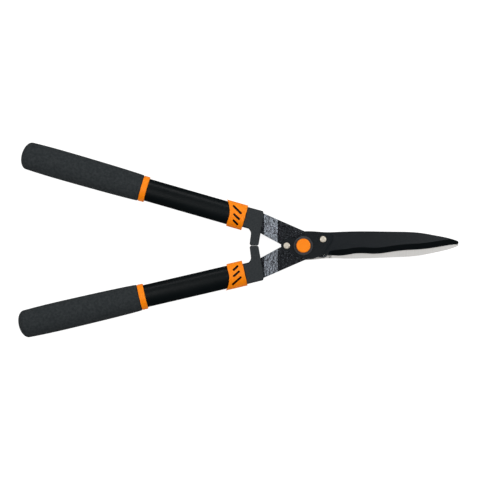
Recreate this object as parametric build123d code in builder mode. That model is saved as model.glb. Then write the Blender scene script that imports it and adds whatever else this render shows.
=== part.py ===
from build123d import *
import os
from math import atan2, cos, degrees, hypot, radians, sin

# Hedge shears with a lever linkage. X runs from the pivot to the blade tips and Z goes
# up through the pivot bolt. The pieces are modelled about the middle plane of the shears
# and lifted at the end, so that z = 0 is the plane that the shears rest on. The back of
# the shears is the front turned half a turn about X, apart from the handles' two angles.

# ---- overall ----
rest_height = 13.5              # middle plane above the resting plane
lower_angle = 13.1              # each handle from the centre line, closed
upper_angle = 16.05
root_x = -67.5                  # point inside the head, on the axis of the handle
root_y = 34.05
handle_length = 319.65          # from that root to the butt of the grip
blade_reach = 206.9             # pivot to blade tip

# ---- clearances ----
running_gap = 0.05              # radial, between a pin and the piece that turns on it
layer_gap = 0.30                # between the two blades, and middle plane to arm
face_gap = 0.30                 # moving tang to the pivot washers
thin_gap = 0.10                 # moving face to rivet head or thrust washer
slot_gap = 0.35                 # sleeve to the side of the slot in the tang
arm_gap = 0.10                  # arm to the slot in the handle head
bumper_gap = 0.30               # between the two bumper legs, closed

# ---- plates ----
arm_thickness = 3.0
blade_thickness = 3.0
washer_gap = 0.6                # space for a thrust washer between arm and tang
arm_low = layer_gap
arm_high = arm_low + arm_thickness
tang_low = arm_high + washer_gap
tang_high = tang_low + blade_thickness
blade_low = layer_gap / 2
blade_high = blade_low + blade_thickness
bevel_width = 8.0
edge_thickness = 0.6            # left along the ground cutting edge
bevel_start = 34.0              # where the ground bevel begins, ahead of the step
front_blade_lean = 0.0          # blade against the centre line, degrees
rear_blade_lean = -1.5

# ---- pivot bolt and its hardware ----
bolt_diameter = 8.0
sleeve_diameter = 9.6
sleeve_end = tang_high + face_gap
cover_washer_diameter = 25.6
cover_washer_thickness = 1.4
cover_washer_top = sleeve_end + cover_washer_thickness
bolt_head_across = 15.0
nut_across = 13.0
nut_height = 4.6
cap_diameter = 18.6
cap_roof = 1.8
thrust_washer_diameter = 18.0

# ---- linkage ----
link_x = 26.3                   # pivot of the front blade on the lower arm
link_y = 8.5
tail_x = -22.0                  # rivet that joins the two tangs behind the bolt
link_travel = 14.93             # turn of a blade on its arm, closed to open, degrees
rivet_diameter = 6.0
rivet_head_diameter = 8.8
rivet_head_height = 2.0
rivet_head_edge = 1.3           # rounding of the head's rim
rivet_tail_diameter = 8.6
rivet_tail_depth = 1.5
open_pivot_gap = 0.80           # radial play of the tail rivet in the rear tang
spacer_diameter = 8.4
link_washer_diameter = 14.0
arm_end_radius = 7.5
arm_notch_radius = 5.4

# ---- arm shank ----
shank_width = 25.0
shank_length = 42.0             # inside the tube
shank_bend = -5.35              # the shank comes into line with the handle here
step_start_x = -52.0            # the arm leaves the handle plane here
step_end_x = -34.0              # and reaches its own layer here
pin_diameter = 4.0

# ---- handle head with bumper leg ----
head_end = 10.65                # along the handle axis, root to collar
head_height = 21.0
head_edge = 2.5

# ---- collar ----
collar_length = 21.0
collar_sweep = 9.0              # how far its outer corner sweeps back
collar_width = 34.2
collar_height = 24.2
slot_width = 2.9

# ---- tube ----
tube_width = 30.0
tube_height = 20.0
tube_wall = 1.3
plug_length = 14.0

# ---- grip ----
grip_start = 154.3
grip_width = 38.6
grip_end_wall = 10.0            # foam past the end of the tube
grip_dome = 10.7
ring_length = 8.0
ring_width = 34.4
ring_height = 24.4

tube_start = head_end + 0.5
tube_end = handle_length - grip_end_wall
link_reach = hypot(link_x, link_y)
link_angle = degrees(atan2(link_y, link_x))


def on_handle(angle, distance, side=0.0):
    """A point on a handle below the centre line: distance back from the root, side outwards."""
    a = radians(angle)
    x = root_x - distance * cos(a) + side * sin(a)
    y = -root_y - distance * sin(a) - side * cos(a)
    return (x, y)


def across(angle, distance):
    """The plane across such a handle that faces its butt, local x outwards."""
    a = radians(angle)
    x, y = on_handle(angle, distance)
    return Plane(origin=(x, y, 0), x_dir=(sin(a), -cos(a), 0), z_dir=(-cos(a), -sin(a), 0))


def along(angle, height):
    """The level plane with local x back along the handle from its root, local y outwards."""
    a = radians(angle)
    origin = (root_x, -root_y, height)
    return Plane(origin=origin, x_dir=(-cos(a), -sin(a), 0), z_dir=(0, 0, 1))


def export_piece(shape, name):
    piece = Location((0, 0, rest_height)) * shape
    piece.label = name
    export_step(piece, f"parts/{name}.step")


def export_pair(shape, name, turned_name):
    """Writes a piece, and its twin half a turn about X."""
    export_piece(shape, name)
    export_piece(shape.rotate(Axis.X, 180), turned_name)


def export_sides(make, name):
    """Writes a piece of the lower handle, and the upper one, made the same and turned over."""
    export_piece(make(lower_angle), f"lower_{name}")
    export_piece(make(upper_angle).rotate(Axis.X, 180), f"upper_{name}")


# ---------------------------------------------------------------- blades
def lean_points(points, lean):
    """Points of a blade in plan, turned about the pivot by its lean."""
    c, s = cos(radians(lean)), sin(radians(lean))
    return [(x * c - y * s, x * s + y * c) for x, y in points]


def edge_points(rise=0.0):
    """The wavy cutting edge, from behind the tip back to the bevel's start."""
    tip = blade_reach
    points = [(tip - 4.2, 1.9), (tip - 16.9, 0), (tip - 32.9, -2.7), (153, -5.1),
              (137, -6.0), (121, -7.7), (107, -9.9), (94, -10.8), (78, -10.1), (67, -10.8),
              (57, -12.5), (46, -13.3)]
    return [(x, y + rise) for x, y in points] + [(bevel_start, -12.6 + 0.6 * rise)]


def bevel_section(rise, lean):
    """Outside of the bevel at one height: the edge, lifted by rise, and all beyond it."""
    points = edge_points(rise)
    beyond = [(bevel_start, -60), (blade_reach + 20, -60), (blade_reach + 20, points[0][1])]
    curve = lean_points(points, lean)
    with BuildSketch() as section:
        with BuildLine():
            Spline(*curve)
            Polyline(curve[-1], *lean_points(beyond, lean), curve[0])
        make_face()
    return section.sketch


def make_bevel_cut(lean):
    """What the grinding takes away, run a little past the edge and past the face."""
    slope = (blade_thickness - edge_thickness) / bevel_width
    past = 0.5
    edge_height = blade_low + edge_thickness
    with BuildPart() as cut:
        with BuildSketch(Plane.XY.offset(edge_height - past * slope)):
            add(bevel_section(-past, lean))
        with BuildSketch(Plane.XY.offset(blade_high + past * slope)):
            add(bevel_section(bevel_width + past, lean))
        loft(ruled=True)
    return cut.part


def blade_outline(lean):
    """Blade in plan: spine, wavy cutting edge, heel, and tang round the rivet."""
    tip = blade_reach
    spine = lean_points([(2, 19.1), (17, 18.8), (29, 17.9), (46, 18.3), (78, 19.1),
                         (121, 18.6), (158, 16.8), (tip - 32.9, 14.0), (tip - 11.9, 9.7),
                         (tip - 2.6, 6.7)], lean)
    tip_round = lean_points([(tip, 4.0), (tip - 4.2, 1.9)], lean)
    edge = lean_points(edge_points() + [(27, -12.3)], lean)
    heel = lean_points([(21, -14.4), (14, -17.3), (7, -17.5)], lean)
    under = lean_points([(1.5, -15.2)], lean)[0]
    with BuildSketch() as outline:
        with BuildLine():
            Spline(*spine)
            ThreePointArc(spine[-1], *tip_round)
            Spline(*edge)
            Spline(edge[-1], *heel)
            Line(heel[-1], under)
            ThreePointArc(under, (-5.0, -14.2), (-11.0, -14.4))
            Spline((-11.0, -14.4), (-14.5, -10.5), (tail_x + 2.5, -7.2))
            ThreePointArc((tail_x + 2.5, -7.2), (tail_x - 7.4, 0), (tail_x - 3.5, 6.6))
            Spline((tail_x - 3.5, 6.6), (tail_x + 5, 10.2), (-9.3, 10.6), (-4.2, 12.4),
                   (-0.8, 15.2), spine[0])
        make_face()
    return outline.sketch


def raised_outline(inset):
    """All of the blade behind its step, which goes round the end of the arm."""
    r = arm_end_radius + 1.75 - inset
    slope = atan2(link_y + 14.0, link_x - 22.4) - radians(24.6)
    tangent = (link_x + r * sin(slope), link_y - r * cos(slope))
    foot = (tangent[0] - 60 * cos(slope), tangent[1] - 60 * sin(slope))
    half = (slope - radians(90)) / 2
    bulge = (link_x + r * cos(half), link_y + r * sin(half))
    with BuildSketch() as outline:
        with BuildLine():
            Line((link_x + r, 40), (link_x + r, link_y))
            ThreePointArc((link_x + r, link_y), bulge, tangent)
            Polyline(tangent, foot, (tail_x - 40, foot[1]), (tail_x - 40, 40), (link_x + r, 40))
        make_face()
    return outline.sketch


def make_blade(tail_hole, lean):
    """One blade. The front part lies against its twin, the tang stands over the arm."""
    with BuildPart() as blade:
        with BuildSketch(Plane.XY.offset(tang_high)):
            add(raised_outline(0))
        extrude(amount=blade_high - tang_high, taper=-45)
        with BuildSketch(Plane.XY.offset(blade_low)):
            Rectangle(3 * blade_reach, 120)
        extrude(amount=blade_thickness)
        with BuildSketch(Plane.XY.offset(tang_low)):
            add(raised_outline(1.24))
        extrude(amount=blade_low - tang_low - 0.5, taper=-45, mode=Mode.SUBTRACT)
        with BuildSketch(Plane.XY.offset(-1)):
            add(blade_outline(lean))
        extrude(amount=tang_high + 2, mode=Mode.INTERSECT)
        add(make_bevel_cut(lean), mode=Mode.SUBTRACT)
        with BuildSketch():
            with Locations((tail_x, 0)):
                Circle(tail_hole / 2)
            with Locations((link_x, link_y)):
                Circle(rivet_diameter / 2 + running_gap)
            track = CenterArc((link_x, link_y), link_reach, 180 + link_angle, link_travel,
                              mode=Mode.PRIVATE)
            SlotArc(track, sleeve_diameter + 2 * slot_gap)
        extrude(amount=tang_high + 1, mode=Mode.SUBTRACT)
    return blade.part


# ---------------------------------------------------------------- arms
def arm_outline(angle):
    """Arm in plan: shank, wide body under the bolt, round end at the link."""
    r = arm_end_radius
    low = radians(-50.3)
    high = radians(112)
    back = head_end + shank_length
    half = shank_width / 2
    outer_back = on_handle(angle, back, half)
    outer_bend = on_handle(angle, shank_bend, half)
    inner_back = on_handle(angle, back, -half)
    inner_bend = on_handle(angle, shank_bend, -half)
    with BuildSketch() as outline:
        with BuildLine():
            Polyline(outer_back, outer_bend, (-51.2, -42.4), (0.8, -19.7), (7.0, -17.2),
                     (link_x + r * cos(low), link_y + r * sin(low)))
            ThreePointArc((link_x + r * cos(low), link_y + r * sin(low)),
                          (link_x + r, link_y),
                          (link_x + r * cos(high), link_y + r * sin(high)))
            Polyline((link_x + r * cos(high), link_y + r * sin(high)), (8, 13.6), (-2, 12.8),
                     (-9, 9.6), (-14.5, 4.8), (tail_x - 6.2, -1.1), (-31.2, -2.5),
                     (-55.5, -15.8), inner_bend, inner_back, outer_back)
        make_face()
        with Locations((tail_x, 0)):
            Circle(arm_notch_radius, mode=Mode.SUBTRACT)
        with Locations((tail_x, 10)):
            Rectangle(2 * arm_notch_radius, 20, mode=Mode.SUBTRACT)
    return outline.sketch


def make_arm(angle, pivot_hole):
    """A stamped arm: level shank, gentle step to its layer, flat to the link pivot."""
    half = arm_thickness / 2
    shift = arm_low + half
    with BuildPart() as arm:
        with BuildSketch(Plane.XZ.offset(-120)):
            with BuildLine():
                Polyline((-handle_length, -half), (step_start_x, -half),
                         (step_end_x, shift - half), (120, shift - half),
                         (120, shift + half), (step_end_x, shift + half),
                         (step_start_x, half), (-handle_length, half),
                         (-handle_length, -half))
            make_face()
        extrude(amount=240)
        with BuildSketch(Plane.XY.offset(-20)):
            add(arm_outline(angle))
        extrude(amount=40, mode=Mode.INTERSECT)
        with BuildSketch(Plane.XY.offset(-20)):
            Circle(pivot_hole / 2)
            with Locations((link_x, link_y)):
                Circle(rivet_diameter / 2)
        extrude(amount=40, mode=Mode.SUBTRACT)
        with BuildSketch(along(angle, -20)):
            with Locations(*arm_pin_places()):
                Circle(pin_diameter / 2)
        extrude(amount=40, mode=Mode.SUBTRACT)
        with Locations(Plane((link_x, link_y, arm_low + rivet_tail_depth / 2))):
            Cone(rivet_tail_diameter / 2, rivet_diameter / 2, rivet_tail_depth,
                 mode=Mode.SUBTRACT)
    return arm.part


def arm_pin_places():
    """Two pins under the collar, clear of its slots."""
    return [(head_end + 3.2, 0.5), (head_end + 18.4, -3.4)]


# ---------------------------------------------------------------- handles
def make_head(angle):
    """Block at the root of the handle, with the leg that meets its twin when closed."""
    stop = -bumper_gap / 2
    outer_corner = on_handle(angle, head_end, 15.0)
    inner_corner = on_handle(angle, head_end, -12.1)
    throat = on_handle(angle, head_end - 1.9, -12.1)
    with BuildPart() as head:
        with BuildSketch(Plane.XY.offset(-head_height / 2)):
            with BuildLine():
                Polyline(outer_corner, (-53.4, -45.9), (-52.5, -41.7),
                         (-59.6, stop), (-71.5, stop), (-69.5, -16.0))
                ThreePointArc((-69.5, -16.0), (-72.6, -22.4), throat)
                Polyline(throat, inner_corner, outer_corner)
            make_face()
        extrude(amount=head_height)
        uprights = head.edges().filter_by(Axis.Z)
        fillet(uprights.filter_by_position(Axis.Y, stop - 0.1, stop + 0.1), head_edge)
        fillet(head.edges().filter_by(Axis.Z).sort_by(Axis.X)[-2:], 1.6)
        rims = head.faces().filter_by(Axis.Z).edges()
        fillet(rims, 1.4)
        with BuildSketch(Plane.XY.offset(-arm_thickness / 2 - arm_gap)):
            add(arm_outline(angle))
            offset(amount=arm_gap, kind=Kind.INTERSECTION)
        extrude(amount=arm_thickness + 2 * arm_gap, mode=Mode.SUBTRACT)
    return head.part


def make_tube(angle):
    with BuildPart() as tube:
        with BuildSketch(across(angle, tube_start)):
            Ellipse(tube_width / 2, tube_height / 2)
            Ellipse(tube_width / 2 - tube_wall, tube_height / 2 - tube_wall, mode=Mode.SUBTRACT)
        extrude(amount=tube_end - tube_start)
        with BuildSketch(along(angle, -tube_height)):
            with Locations(*arm_pin_places()):
                Circle(pin_diameter / 2)
        extrude(amount=2 * tube_height, mode=Mode.SUBTRACT)
    return tube.part


def make_arm_pins(angle):
    """Two pins through tube and shank, ended flush with the curve of the tube."""
    with BuildPart() as pins:
        with BuildSketch(along(angle, -tube_height)):
            with Locations(*arm_pin_places()):
                Circle(pin_diameter / 2)
        extrude(amount=2 * tube_height)
        with BuildSketch(across(angle, tube_start)):
            Ellipse(tube_width / 2, tube_height / 2)
        extrude(amount=tube_end - tube_start, mode=Mode.INTERSECT)
    return pins.part


def make_collar(angle):
    """Collar over the front of the tube, swept back on the outside, with three slots."""
    front = head_end
    back = head_end + collar_length
    wide = collar_width
    slots = [((19.9, 11.6), (5.3, 3.6)), ((16.1, 1.1), (5.7, -4.4)), ((14.5, -6.9), (6.0, -11.7))]
    with BuildPart() as collar:
        with BuildSketch(across(angle, front)):
            Ellipse(collar_width / 2, collar_height / 2)
            Ellipse(tube_width / 2, tube_height / 2, mode=Mode.SUBTRACT)
        extrude(amount=collar_length + collar_sweep + 2)
        with BuildSketch(along(angle, -collar_height)):
            with BuildLine():
                Polyline((back, -wide), (front - 5, -wide), (front - 5, wide),
                         (back + collar_sweep + 4, wide),
                         (back + collar_sweep, wide / 2))
                Spline((back + collar_sweep, wide / 2), (back + 2.6, wide / 4), (back, 0),
                       (back, -wide / 2), tangents=[(-1, -0.7), (0, -1)])
                Line((back, -wide / 2), (back, -wide))
            make_face()
        extrude(amount=2 * collar_height, mode=Mode.INTERSECT)
        with BuildSketch(along(angle, -collar_height)):
            for (back_x, back_y), (front_x, front_y) in slots:
                run = hypot(back_x - front_x, back_y - front_y) - slot_width
                turn = degrees(atan2(back_y - front_y, back_x - front_x))
                centre = (front + (back_x + front_x) / 2, (back_y + front_y) / 2)
                with Locations(centre):
                    SlotCenterToCenter(run, slot_width, rotation=turn)
        extrude(amount=2 * collar_height, mode=Mode.SUBTRACT)
    return collar.part


def make_ring(angle):
    with BuildPart() as ring:
        with BuildSketch(across(angle, grip_start - ring_length)):
            Ellipse(ring_width / 2, ring_height / 2)
        extrude(amount=ring_length)
        front_rim = ring.faces().sort_by(Axis.X)[-1].edges()
        fillet(front_rim, 1.0)
        with BuildSketch(across(angle, grip_start - ring_length)):
            Ellipse(tube_width / 2, tube_height / 2)
        extrude(amount=ring_length, mode=Mode.SUBTRACT)
    return ring.part


def make_grip(angle):
    """Foam sleeve with a domed, closed butt."""
    straight = handle_length - grip_dome
    dome = scale(Sphere(1), by=(grip_width / 2, rest_height, grip_dome))
    with BuildPart() as grip:
        with BuildSketch(across(angle, grip_start)):
            Ellipse(grip_width / 2, rest_height)
        extrude(amount=straight - grip_start)
        front_rim = grip.faces().sort_by(Axis.X)[-1].edges()
        fillet(front_rim, 1.5)
        add(across(angle, straight).location * dome)
        with BuildSketch(across(angle, grip_start)):
            Ellipse(tube_width / 2, tube_height / 2)
        extrude(amount=tube_end - grip_start, mode=Mode.SUBTRACT)
    return grip.part


def make_plug(angle):
    with BuildPart() as plug:
        with BuildSketch(across(angle, tube_end - plug_length)):
            Ellipse(tube_width / 2 - tube_wall, tube_height / 2 - tube_wall)
        extrude(amount=plug_length)
    return plug.part


# ---------------------------------------------------------------- pivot and rivets
def make_washer(diameter, bore, low, high, place=(0, 0)):
    with BuildPart() as washer:
        with BuildSketch(Plane.XY.offset(low)):
            with Locations(place):
                Circle(diameter / 2)
                Circle(bore / 2, mode=Mode.SUBTRACT)
        extrude(amount=high - low)
    return washer.part


def make_bolt():
    with BuildPart() as bolt:
        with BuildSketch(Plane.XY.offset(-rest_height)):
            RegularPolygon(bolt_head_across / 2, 6, major_radius=False)
        extrude(amount=rest_height - cover_washer_top)
        with BuildSketch(Plane.XY.offset(-cover_washer_top)):
            Circle(bolt_diameter / 2)
        extrude(amount=2 * cover_washer_top + nut_height + 0.6)
        chamfer(bolt.faces().sort_by(Axis.Z)[-1].edges(), 0.6)
    return bolt.part


def make_nut():
    with BuildPart() as nut:
        with BuildSketch(Plane.XY.offset(cover_washer_top)):
            RegularPolygon(nut_across / 2, 6, major_radius=False)
            Circle(bolt_diameter / 2, mode=Mode.SUBTRACT)
        extrude(amount=nut_height)
    return nut.part


def make_cap():
    """Cap pushed over the nut, with a softly rounded rim."""
    inside = nut_height + 0.8
    with BuildPart() as cap:
        with BuildSketch(Plane.XY.offset(cover_washer_top)):
            Circle(cap_diameter / 2)
        extrude(amount=inside + cap_roof)
        fillet(cap.faces().sort_by(Axis.Z)[-1].edges(), 1.6)
        with BuildSketch(Plane.XY.offset(cover_washer_top)):
            RegularPolygon(nut_across / 2, 6, major_radius=False)
        extrude(amount=inside, mode=Mode.SUBTRACT)
    return cap.part


def make_link_rivet():
    """Rounded head over the tang, countersunk flush in the far face of the arm."""
    under_head = tang_high + thin_gap
    with BuildPart() as rivet:
        with BuildSketch(Plane.XY.offset(under_head)):
            with Locations((link_x, link_y)):
                Circle(rivet_head_diameter / 2)
        extrude(amount=rivet_head_height)
        fillet(rivet.faces().sort_by(Axis.Z)[-1].edges(), rivet_head_edge)
        with BuildSketch(Plane.XY.offset(arm_low)):
            with Locations((link_x, link_y)):
                Circle(rivet_diameter / 2)
        extrude(amount=under_head - arm_low)
        with Locations(Plane((link_x, link_y, arm_low + rivet_tail_depth / 2))):
            Cone(rivet_tail_diameter / 2, rivet_diameter / 2, rivet_tail_depth)
    return rivet.part


def make_tail_rivet():
    """Rivet through both tangs: tight in the front one, loose in the rear one."""
    low = -tang_high - thin_gap
    with BuildPart() as rivet:
        with BuildSketch(Plane.XY.offset(low)):
            with Locations((tail_x, 0)):
                Circle(rivet_diameter / 2)
        extrude(amount=tang_high - low)
        for face_height, direction in ((tang_high, 1), (low, -1)):
            with BuildSketch(Plane.XY.offset(face_height)):
                with Locations((tail_x, 0)):
                    Circle(rivet_head_diameter / 2)
            extrude(amount=direction * rivet_head_height)
        fillet(rivet.faces().sort_by(Axis.Z)[-1].edges(), rivet_head_edge)
        fillet(rivet.faces().sort_by(Axis.Z)[0].edges(), rivet_head_edge)
    return rivet.part


def make_handle_pieces():
    for make, name in ((make_tube, "tube"), (make_arm_pins, "arm_pins"), (make_head, "head"),
                       (make_collar, "collar"), (make_ring, "ring"), (make_grip, "grip"),
                       (make_plug, "end_plug")):
        export_sides(make, name)
    export_piece(make_arm(lower_angle, sleeve_diameter), "lower_arm")
    turning_arm = make_arm(upper_angle, sleeve_diameter + 2 * running_gap)
    export_piece(turning_arm.rotate(Axis.X, 180), "upper_arm")


def make_pivot_pieces():
    cover = make_washer(cover_washer_diameter, bolt_diameter, sleeve_end, cover_washer_top)
    export_pair(cover, "front_pivot_washer", "rear_pivot_washer")
    sleeve = make_washer(sleeve_diameter, bolt_diameter, -sleeve_end, sleeve_end)
    export_piece(sleeve, "pivot_sleeve")
    wide = thrust_washer_diameter
    bore = sleeve_diameter
    front = make_washer(wide, bore, arm_high, tang_low - thin_gap)
    middle = make_washer(wide, bore, thin_gap - layer_gap, layer_gap)
    rear = make_washer(wide, bore, thin_gap - tang_low, -arm_high - thin_gap)
    export_piece(front, "front_thrust_washer")
    export_piece(middle, "middle_thrust_washer")
    export_piece(rear, "rear_thrust_washer")
    export_piece(make_bolt(), "pivot_bolt")
    export_piece(make_nut(), "pivot_nut")
    export_piece(make_cap(), "pivot_cap")


def make_linkage_pieces():
    export_piece(make_blade(rivet_diameter, front_blade_lean), "front_blade")
    loose = make_blade(rivet_diameter + 2 * open_pivot_gap, rear_blade_lean)
    export_piece(loose.rotate(Axis.X, 180), "rear_blade")
    export_pair(make_link_rivet(), "front_link_rivet", "rear_link_rivet")
    washer = make_washer(link_washer_diameter, rivet_diameter, arm_high, tang_low - thin_gap,
                         (link_x, link_y))
    export_pair(washer, "front_link_washer", "rear_link_washer")
    export_piece(make_tail_rivet(), "tail_rivet")
    spacer = make_washer(spacer_diameter, rivet_diameter, thin_gap - tang_low, tang_low,
                         (tail_x, 0))
    export_piece(spacer, "tail_spacer")


os.makedirs("parts", exist_ok=True)
make_handle_pieces()
make_pivot_pieces()
make_linkage_pieces()
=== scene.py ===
import math

import bpy
from mathutils import Matrix, Vector


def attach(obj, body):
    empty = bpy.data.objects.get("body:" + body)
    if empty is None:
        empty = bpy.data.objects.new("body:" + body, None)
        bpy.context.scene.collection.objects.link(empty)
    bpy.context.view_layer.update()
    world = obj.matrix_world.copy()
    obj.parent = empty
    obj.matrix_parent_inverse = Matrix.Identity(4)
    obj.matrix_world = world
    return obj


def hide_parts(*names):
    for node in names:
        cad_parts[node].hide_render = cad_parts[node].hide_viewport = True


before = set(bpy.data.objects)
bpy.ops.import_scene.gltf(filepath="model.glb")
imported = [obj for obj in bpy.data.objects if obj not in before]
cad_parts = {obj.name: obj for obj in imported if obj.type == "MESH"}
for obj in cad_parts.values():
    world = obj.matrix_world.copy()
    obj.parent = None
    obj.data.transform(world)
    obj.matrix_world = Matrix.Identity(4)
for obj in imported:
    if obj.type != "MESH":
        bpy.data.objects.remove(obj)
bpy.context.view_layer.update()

MM = 0.001
MIDDLE = 13.5 * MM                  # middle plane of the shears above the floor
HANDLE_ANGLE = {-1: math.radians(13.1), 1: math.radians(16.05)}  # lower and upper, closed
ROOT_X = -67.5 * MM                 # root of a handle's axis, inside the head
ROOT_Y = 34.05 * MM
BUTT = 319.65 * MM                  # root to the butt of a grip
GRIP_START = 154.3 * MM
GRIP_HALF_WIDTH = 19.3 * MM
GRIP_HALF_HEIGHT = 13.5 * MM
GRIP_DOME = 10.7 * MM               # length of the rounded butt
DOME_SHARE = 0.955                  # width of the dome's rim, as a share of the full width
# Barrel shape of a grip: millimetres from its front, and share of the full width.
GRIP_SWELL = [(142, 0.978), (130, 0.993), (118, 1.0), (100, 1.0), (82, 0.995), (66, 0.988),
              (50, 0.979), (36, 0.968), (24, 0.955), (14, 0.941), (7, 0.928), (2, 0.915)]
# Rolled front lip of a grip: step forward in millimetres, and scale of each new rim.
GRIP_LIP = [(-0.9, 0.985), (-0.6, 0.97), (-0.2, 0.95), (0.0, 0.90)]

# Size of a blade normal's Z part on its ground bevel and on the slope round the arm's end; the
# coat is painted darker on the bevel as painted shade and lighter on the slope as a painted
# highlight.
BEVEL_SLANT = (0.93, 0.985)
STEP_SLANT = (0.6, 0.8)
SHEAR_FACE_BAND = 0.34              # millimetres either side of the middle plane

CAMERA_PLACE = (-0.0841, 0.0075)
CAMERA_DISTANCE = 2.4
VIEW_WIDTH = 0.6398
SENSOR_WIDTH = 36.0                 # millimetres
LIGHTS_AIM = (-0.05, 0, 0)
# name, place, size in metres, watts
SOFTBOXES = [
    ("left_box", (-1.16, 0.1, 1.6), (0.8, 1.8), 20),
    ("right_box", (1.05, 0.1, 1.6), (0.7, 1.6), 19),
    ("back_box", (0.0, 1.5, 1.2), (1.8, 0.5), 11),
]


# ---------------------------------------------------------------- finishes
class Wire:
    """One output of a finish's nodes. Sums and products with it add Math nodes."""

    def __init__(self, finish, socket):
        self.finish = finish
        self.socket = socket

    def math(self, operation, *terms):
        return self.finish.node("ShaderNodeMath", {"operation": operation}, *terms)

    def __add__(self, other):
        return self.math("ADD", self, other)

    __radd__ = __add__

    def __sub__(self, other):
        return self.math("SUBTRACT", self, other)

    def __rsub__(self, other):
        return self.math("SUBTRACT", other, self)

    def __mul__(self, other):
        return self.math("MULTIPLY", self, other)

    __rmul__ = __mul__

    def size(self):
        return self.math("ABSOLUTE", self)

    def below(self, limit):
        return self.math("LESS_THAN", self, limit)

    def above(self, limit):
        return self.math("GREATER_THAN", self, limit)

    def between(self, low, high):
        return self.above(low) * self.below(high)

    def larger(self, other):
        return self.math("MAXIMUM", self, other)

    def fade(self, start, end):
        """0 at start, 1 at end, smooth between."""
        return self.finish.node(
            "ShaderNodeMapRange",
            {"interpolation_type": "SMOOTHSTEP"},
            **{"Value": self, "From Min": start, "From Max": end},
        )


class Finish:
    """A procedural material, built round one Principled surface."""

    def __init__(self, name, **uniform):
        self.material = bpy.data.materials.new(name)
        self.material.use_nodes = True
        self.nodes = self.material.node_tree.nodes
        self.links = self.material.node_tree.links
        self.surface = self.nodes["Principled BSDF"]
        for socket, value in uniform.items():
            self.surface.inputs[socket.replace("_", " ")].default_value = value

    def node(self, kind, settings=None, *terms, out=0, **named):
        node = self.nodes.new(kind)
        for name, value in (settings or {}).items():
            setattr(node, name, value)
        for index, term in enumerate(terms):
            self._plug(node.inputs[index], term)
        for name, term in named.items():
            self._plug(node.inputs[name], term)
        return Wire(self, node.outputs[out])

    def _plug(self, socket, term):
        if isinstance(term, Wire):
            self.links.new(term.socket, socket)
        else:
            socket.default_value = term

    def feed(self, socket, wire):
        self.links.new(wire.socket, self.surface.inputs[socket])

    def place(self, scale=(1, 1, 1)):
        """Object coordinates in millimetres, stretched by scale."""
        at = self.node("ShaderNodeTexCoord", out="Object")
        size = tuple(1000 * s for s in scale)
        return self.node("ShaderNodeMapping", {"vector_type": "POINT"}, Vector=at, Scale=size)

    def height(self):
        """Distance from the middle plane, in millimetres, up positive."""
        at = self.node("ShaderNodeTexCoord", out="Object")
        z = self.node("ShaderNodeSeparateXYZ", None, at, out="Z")
        return (z - MIDDLE) * 1000

    def facing_up(self):
        normal = self.node("ShaderNodeTexCoord", out="Normal")
        return self.node("ShaderNodeSeparateXYZ", None, normal, out="Z")

    def noise(self, at, scale, detail=2.0, roughness=0.5):
        return self.node("ShaderNodeTexNoise", None, Vector=at, Scale=scale, Detail=detail,
                         Roughness=roughness)

    def cells(self, at, scale, feature="F1"):
        return self.node("ShaderNodeTexVoronoi", {"feature": feature}, Vector=at, Scale=scale)

    def mix(self, amount, first, second):
        """Blend of two colours."""
        first = (*first, 1) if isinstance(first, tuple) else first
        second = (*second, 1) if isinstance(second, tuple) else second
        node = self.nodes.new("ShaderNodeMix")
        node.data_type = "RGBA"
        self._plug(node.inputs["Factor"], amount)
        self._plug(node.inputs[6], first)
        self._plug(node.inputs[7], second)
        return Wire(self, node.outputs[2])

    def bump(self, height, depth):
        """Feeds the surface normal from a height of 0 to 1, depth in millimetres."""
        wire = self.node("ShaderNodeBump", None, Strength=1.0, Distance=depth * MM,
                         Height=height)
        self.feed("Normal", wire)


def coated_blade():
    """Black low-friction coating outside, bare ground steel on the side that shears."""
    f = Finish("coated_blade", Specular_IOR_Level=0.16)
    up = f.facing_up()
    height = f.height()
    inward = (up * height).below(-0.02)
    strip = height.size().below(SHEAR_FACE_BAND)
    steel = inward.larger(strip)
    slant = up.size()
    bevel = slant.between(*BEVEL_SLANT)
    step = slant.between(*STEP_SLANT)
    at = f.place()
    along = f.noise(f.place((0.03, 0.9, 0.9)), 1.0, 3.0)
    ground = f.noise(f.place((1.1, 0.05, 0.5)), 1.3, 3.0)
    mottle = f.noise(at, 0.05, 3.0)
    speck = f.noise(at, 1.3, 2.0)
    coat = f.mix(mottle, (0.0012, 0.0034, 0.0054), (0.0040, 0.0068, 0.0094))
    coat = f.mix(speck.fade(0.58, 0.75) * 0.35, coat, (0.035, 0.041, 0.046))
    # Painted shade: the coat is darker on the tilted ground bevel, picked out by which way the
    # face tilts.
    coat = f.mix(bevel, coat, (0.0020, 0.0034, 0.0042))
    # Painted highlight: the coat is lighter on the slope round the arm's end, picked out by
    # which way the face tilts.
    coat = f.mix(step, coat, (0.016, 0.020, 0.023))
    silver = f.mix(ground, (0.60, 0.588, 0.570), (0.48, 0.472, 0.460))
    f.feed("Base Color", f.mix(steel, coat, silver))
    f.feed("Metallic", steel * 0.30)
    f.feed("Roughness", 0.30 + 0.10 * mottle + steel * 0.12 - bevel * 0.04)
    f.bump(along * 0.5 * (1 - bevel) + (bevel + steel) * ground * 0.8, 0.02)
    return f.material


def hammered_paint():
    """Hammered silver-grey paint: small dimples with raised rims and bright flake."""
    f = Finish("hammered_paint", Metallic=1.0)
    at = f.place()
    warp = f.noise(at, 0.35, 1.0)
    dimples = f.cells(at, 0.42, "SMOOTH_F1")
    small = f.cells(at, 1.0)
    flake = f.noise(at, 2.6, 1.0)
    rims = dimples.fade(0.25, 0.8)
    base = f.mix(rims, (0.072, 0.080, 0.091), (0.016, 0.018, 0.021))
    base = f.mix(flake.fade(0.52, 0.66) * 0.5, base, (0.22, 0.235, 0.26))
    f.feed("Base Color", base)
    f.feed("Roughness", 0.12 + 0.06 * flake + 0.04 * warp)
    f.bump(dimples * 0.8 + small * 0.3, 0.15)
    return f.material


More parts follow.
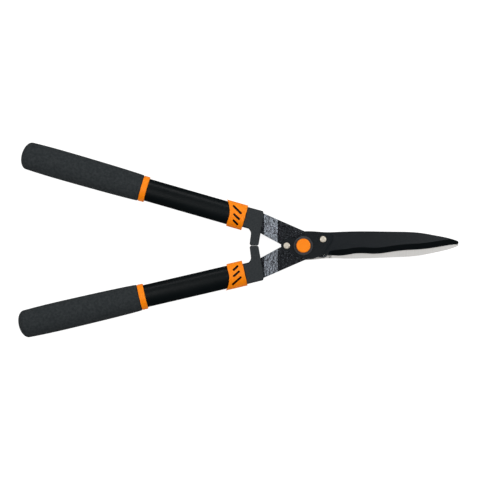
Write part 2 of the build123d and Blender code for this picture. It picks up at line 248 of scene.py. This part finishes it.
def gloss_tube():
    """Gloss black powder coat with a faint orange peel."""
    f = Finish("gloss_tube", Specular_IOR_Level=0.12, Coat_Weight=0.03, Coat_Roughness=0.14)
    at = f.place()
    peel = f.noise(at, 0.5, 2.0)
    haze = f.noise(at, 0.03, 3.0)
    f.feed("Base Color", f.mix(haze, (0.0012, 0.0026, 0.0032), (0.0032, 0.0050, 0.0058)))
    f.feed("Roughness", 0.34 + 0.12 * haze)
    f.bump(peel, 0.015)
    return f.material


def head_plastic():
    """Charcoal moulded plastic with a fine spark texture."""
    f = Finish("head_plastic", Specular_IOR_Level=0.3)
    at = f.place()
    grain = f.noise(at, 2.2, 2.0)
    cloud = f.noise(at, 0.06, 3.0)
    mottle = f.noise(at, 0.5, 3.0, 0.6).fade(0.3, 0.7)
    f.feed("Base Color", f.mix(mottle, (0.0060, 0.0100, 0.0125), (0.0160, 0.0202, 0.0232)))
    f.feed("Roughness", 0.48 + 0.14 * cloud)
    f.bump(grain, 0.05)
    return f.material


def orange_plastic(name="orange_plastic", gloss=0.40):
    """Moulded orange plastic: even colour, fine grain, slightly lighter in large soft patches.
    """
    f = Finish(name, Subsurface_Weight=0.04, Subsurface_Scale=0.002, Specular_IOR_Level=0.2)
    at = f.place()
    cloud = f.noise(at, 0.07, 3.0)
    grain = f.noise(at, 1.8, 2.0)
    f.feed("Base Color", f.mix(cloud, (1.0, 0.225, 0.0006), (1.0, 0.268, 0.002)))
    f.feed("Roughness", gloss + 0.12 * cloud)
    f.bump(grain, 0.02)
    return f.material


def foam():
    """Closed-cell foam: skinned surface with fine open pores, darkened by painted shade, and
    slow unevenness.
    """
    f = Finish("foam", Specular_IOR_Level=0.25)
    at = f.place()
    pores = f.cells(at, 1.15)
    fine = f.noise(at, 3.0, 2.0)
    cloud = f.noise(at, 0.05, 4.0)
    # Painted shade: the hollows of the pores are painted darker.
    pore_shade = 1 - pores.fade(0.12, 0.42)
    mottle = f.noise(at, 0.32, 4.0, 0.6).fade(0.3, 0.7)
    base = f.mix(mottle, (0.0135, 0.0175, 0.0198), (0.0265, 0.0312, 0.0335))
    f.feed("Base Color", f.mix(pore_shade * 0.6, base, (0.008, 0.010, 0.011)))
    f.feed("Roughness", 0.72 + 0.15 * fine)
    f.bump(pores.fade(0.05, 0.5) * 0.7 + fine * 0.5 + cloud * 0.8, 0.16)
    return f.material


def nickel():
    """Nickel-plated rivet: satin, with marks from the forming tool."""
    f = Finish("nickel", Metallic=0.45)
    at = f.place()
    marks = f.noise(at, 1.1, 3.0)
    f.feed("Base Color", f.mix(marks.fade(0.35, 0.7), (0.66, 0.61, 0.52), (0.42, 0.38, 0.31)))
    f.feed("Roughness", 0.30 + 0.22 * marks)
    f.bump(marks, 0.06)
    return f.material


def zinc():
    """Zinc-plated fasteners with a faint spangle."""
    f = Finish("zinc", Metallic=1.0)
    at = f.place()
    spangle = f.cells(at, 0.5)
    f.feed("Base Color", f.mix(spangle, (0.52, 0.53, 0.55), (0.66, 0.67, 0.68)))
    f.feed("Roughness", 0.32 + 0.16 * spangle)
    f.bump(f.noise(at, 1.5, 2.0), 0.02)
    return f.material


def dark_steel():
    """Blackened steel washer and pins."""
    f = Finish("dark_steel", Metallic=0.6)
    at = f.place()
    cloud = f.noise(at, 0.4, 3.0)
    f.feed("Base Color", f.mix(cloud, (0.018, 0.022, 0.026), (0.045, 0.05, 0.056)))
    f.feed("Roughness", 0.34 + 0.2 * cloud)
    f.bump(f.noise(at, 2.0, 2.0), 0.02)
    return f.material


# ---------------------------------------------------------------- modelling helpers
def deselect_all():
    for piece in bpy.context.selected_objects:
        piece.select_set(False)


def hold(piece):
    deselect_all()
    piece.select_set(True)
    bpy.context.view_layer.objects.active = piece


def paint(piece, finish):
    piece.data.materials.clear()
    piece.data.materials.append(finish)


def handle_matrix(side):
    """Local X back along a handle, Y outwards, Z up; side is -1 lower, 1 upper."""
    angle = HANDLE_ANGLE[side]
    back = Vector((-math.cos(angle), side * math.sin(angle), 0))
    out = Vector((math.sin(angle), side * math.cos(angle), 0))
    up = Vector((0, 0, 1))
    turn = Matrix((back, out, up)).transposed().to_4x4()
    return Matrix.Translation((ROOT_X, side * ROOT_Y, MIDDLE)) @ turn


def settle(piece, matrix):
    """Moves a piece's mesh to its place and leaves its object at the origin."""
    piece.data.transform(matrix)
    hold(piece)
    bpy.ops.object.transform_apply(location=True, rotation=True, scale=True)
    bpy.ops.object.mode_set(mode="EDIT")
    bpy.ops.mesh.select_all(action="SELECT")
    bpy.ops.mesh.remove_doubles(threshold=0.001 * MM)
    bpy.ops.mesh.normals_make_consistent(inside=False)
    bpy.ops.object.mode_set(mode="OBJECT")


def add_grip(side, name, body, node, finish):
    """Foam sleeve: half a stretched ball, its rim drawn forward and rolled in at the front."""
    deselect_all()
    bpy.ops.mesh.primitive_uv_sphere_add(segments=72, ring_count=36, radius=1)
    grip = bpy.context.object
    grip.name = name
    hold(grip)
    bpy.ops.transform.rotate(value=math.radians(90), orient_axis="Y", center_override=(0, 0, 0))
    bpy.ops.object.transform_apply(location=False, rotation=True, scale=True)
    bpy.ops.object.mode_set(mode="EDIT")
    bpy.ops.mesh.select_all(action="SELECT")
    bpy.ops.mesh.bisect(plane_co=(0, 0, 0), plane_no=(1, 0, 0), clear_inner=True)
    bpy.ops.object.mode_set(mode="OBJECT")
    share = DOME_SHARE
    size = (GRIP_DOME, share * GRIP_HALF_WIDTH, share * GRIP_HALF_HEIGHT, 1)
    grip.data.transform(Matrix.Diagonal(size))
    x = BUTT - GRIP_DOME
    grip.data.transform(Matrix.Translation((x, 0, 0)))
    for stop, swell in GRIP_SWELL:
        x = draw_rim(grip, x, GRIP_START + stop * MM, swell / share)
        share = swell
    for shift, narrow in GRIP_LIP:
        x = draw_rim(grip, x, x + shift * MM, narrow)
    settle(grip, handle_matrix(side))
    bpy.ops.object.shade_smooth()
    paint(grip, finish)
    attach(grip, body)
    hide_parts(node)


def pick_rim(piece, x):
    """Selects the open edge loop that lies at x."""
    hold(piece)
    bpy.ops.object.mode_set(mode="EDIT")
    bpy.ops.mesh.select_mode(type="VERT")
    bpy.ops.mesh.select_all(action="DESELECT")
    bpy.ops.object.mode_set(mode="OBJECT")
    for vertex in piece.data.vertices:
        vertex.select = abs(vertex.co.x - x) < 0.02 * MM
    bpy.ops.object.mode_set(mode="EDIT")
    bpy.ops.mesh.select_mode(type="EDGE")


def draw_rim(piece, x, stop, factor):
    """Draws the open rim out from x to stop and scales it; the new rim's place comes back."""
    pick_rim(piece, x)
    bpy.ops.mesh.extrude_region_move(TRANSFORM_OT_translate={"value": (stop - x, 0, 0)})
    bpy.ops.transform.resize(value=(1, factor, factor), center_override=(x, 0, 0))
    bpy.ops.object.mode_set(mode="OBJECT")
    return stop


def soften(node, name, body, finish, width, smooth=32):
    """A merged copy of a plain node, with its hard edges rounded off, that takes its place."""
    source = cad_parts[node]
    copy = source.copy()
    copy.data = source.data.copy()
    bpy.context.scene.collection.objects.link(copy)
    copy.parent = None
    copy.name = name
    hold(copy)
    bpy.ops.object.mode_set(mode="EDIT")
    bpy.ops.mesh.select_all(action="SELECT")
    bpy.ops.mesh.remove_doubles(threshold=0.01 * MM)
    bpy.ops.mesh.dissolve_limited(angle_limit=math.radians(0.5))
    bpy.ops.object.mode_set(mode="OBJECT")
    bpy.ops.object.shade_smooth_by_angle(angle=math.radians(smooth))
    bevel = copy.modifiers.new("edges", "BEVEL")
    bevel.width = width * MM
    bevel.segments = 3
    bevel.limit_method = "ANGLE"
    bevel.angle_limit = math.radians(38)
    bevel.use_clamp_overlap = True
    bevel.harden_normals = True
    bpy.ops.object.modifier_apply(modifier=bevel.name)
    paint(copy, finish)
    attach(copy, body)
    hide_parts(node)


# ---------------------------------------------------------------- pieces
blade_finish = coated_blade()
arm_finish = hammered_paint()
tube_finish = gloss_tube()
head_finish = head_plastic()
orange_finish = orange_plastic()
cap_finish = orange_plastic("cap_plastic", 0.30)
foam_finish = foam()
nickel_finish = nickel()
zinc_finish = zinc()
dark_finish = dark_steel()

NODE_FINISHES = {
    blade_finish: ["front_blade", "rear_blade"],
    arm_finish: ["lower_arm", "upper_arm"],
    tube_finish: ["lower_tube", "upper_tube"],
    head_finish: ["lower_head", "upper_head", "lower_end_plug", "upper_end_plug"],
    orange_finish: ["lower_collar", "upper_collar", "lower_ring", "upper_ring"],
    cap_finish: ["pivot_cap"],
    nickel_finish: ["front_link_rivet", "rear_link_rivet", "tail_rivet"],
    zinc_finish: ["pivot_bolt", "pivot_nut", "pivot_sleeve", "tail_spacer",
                  "front_thrust_washer", "middle_thrust_washer", "rear_thrust_washer",
                  "front_link_washer", "rear_link_washer"],
    dark_finish: ["lower_arm_pins", "upper_arm_pins", "front_pivot_washer",
                  "rear_pivot_washer"],
}
for finish, nodes in NODE_FINISHES.items():
    for node in nodes:
        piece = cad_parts[node]
        for place in piece.material_slots:
            place.material = finish

for side, word in ((-1, "lower"), (1, "upper")):
    body = f"{word}_handle"
    add_grip(side, f"{word}_foam_sleeve", body, f"{word}_grip", foam_finish)
    soften(f"{word}_collar", f"{word}_slotted_collar", body, orange_finish, 0.5)
    soften(f"{word}_ring", f"{word}_grip_ring", body, orange_finish, 0.4)
    soften(f"{word}_arm", f"{word}_stamped_arm", body, arm_finish, 0.35,
           smooth=5)
soften("front_pivot_washer", "front_cover_washer", "lower_handle", dark_finish, 0.3)
soften("rear_pivot_washer", "rear_cover_washer", "lower_handle", dark_finish, 0.3)
soften("pivot_bolt", "hexagon_bolt", "lower_handle", zinc_finish, 0.5)


# ---------------------------------------------------------------- studio
def add_floor():
    deselect_all()
    bpy.ops.mesh.primitive_plane_add(size=8, location=(0, 0, -0.4 * MM))
    floor = bpy.context.object
    floor.name = "studio_floor"
    finish = Finish("studio_floor_white", Base_Color=(0.25, 0.25, 0.25, 1), Roughness=1.0,
                    Specular_IOR_Level=0.0, Emission_Color=(1, 1, 1, 1),
                    Emission_Strength=0.93)
    paint(floor, finish.material)
    floor.visible_glossy = False


def add_softbox(name, place, size, power):
    light = bpy.data.lights.new(name, "AREA")
    light.shape = "RECTANGLE"
    light.size, light.size_y = size
    light.energy = power
    lamp = bpy.data.objects.new(name, light)
    lamp.location = place
    toward = Vector(LIGHTS_AIM) - Vector(place)
    lamp.rotation_euler = toward.to_track_quat("-Z", "Y").to_euler()
    bpy.context.scene.collection.objects.link(lamp)


def add_world():
    world = bpy.data.worlds.new("studio")
    world.use_nodes = True
    background = world.node_tree.nodes["Background"]
    background.inputs["Color"].default_value = (1, 1, 1, 1)
    background.inputs["Strength"].default_value = 0.06
    bpy.context.scene.world = world


def add_camera():
    camera = bpy.data.cameras.new("camera")
    camera.sensor_width = SENSOR_WIDTH
    camera.lens = SENSOR_WIDTH * CAMERA_DISTANCE / VIEW_WIDTH
    holder = bpy.data.objects.new("camera", camera)
    holder.location = (*CAMERA_PLACE, CAMERA_DISTANCE + MIDDLE)
    bpy.context.scene.collection.objects.link(holder)
    bpy.context.scene.camera = holder


add_floor()
add_world()
for box in SOFTBOXES:
    add_softbox(*box)
add_camera()
bpy.context.scene.view_settings.view_transform = "Standard"
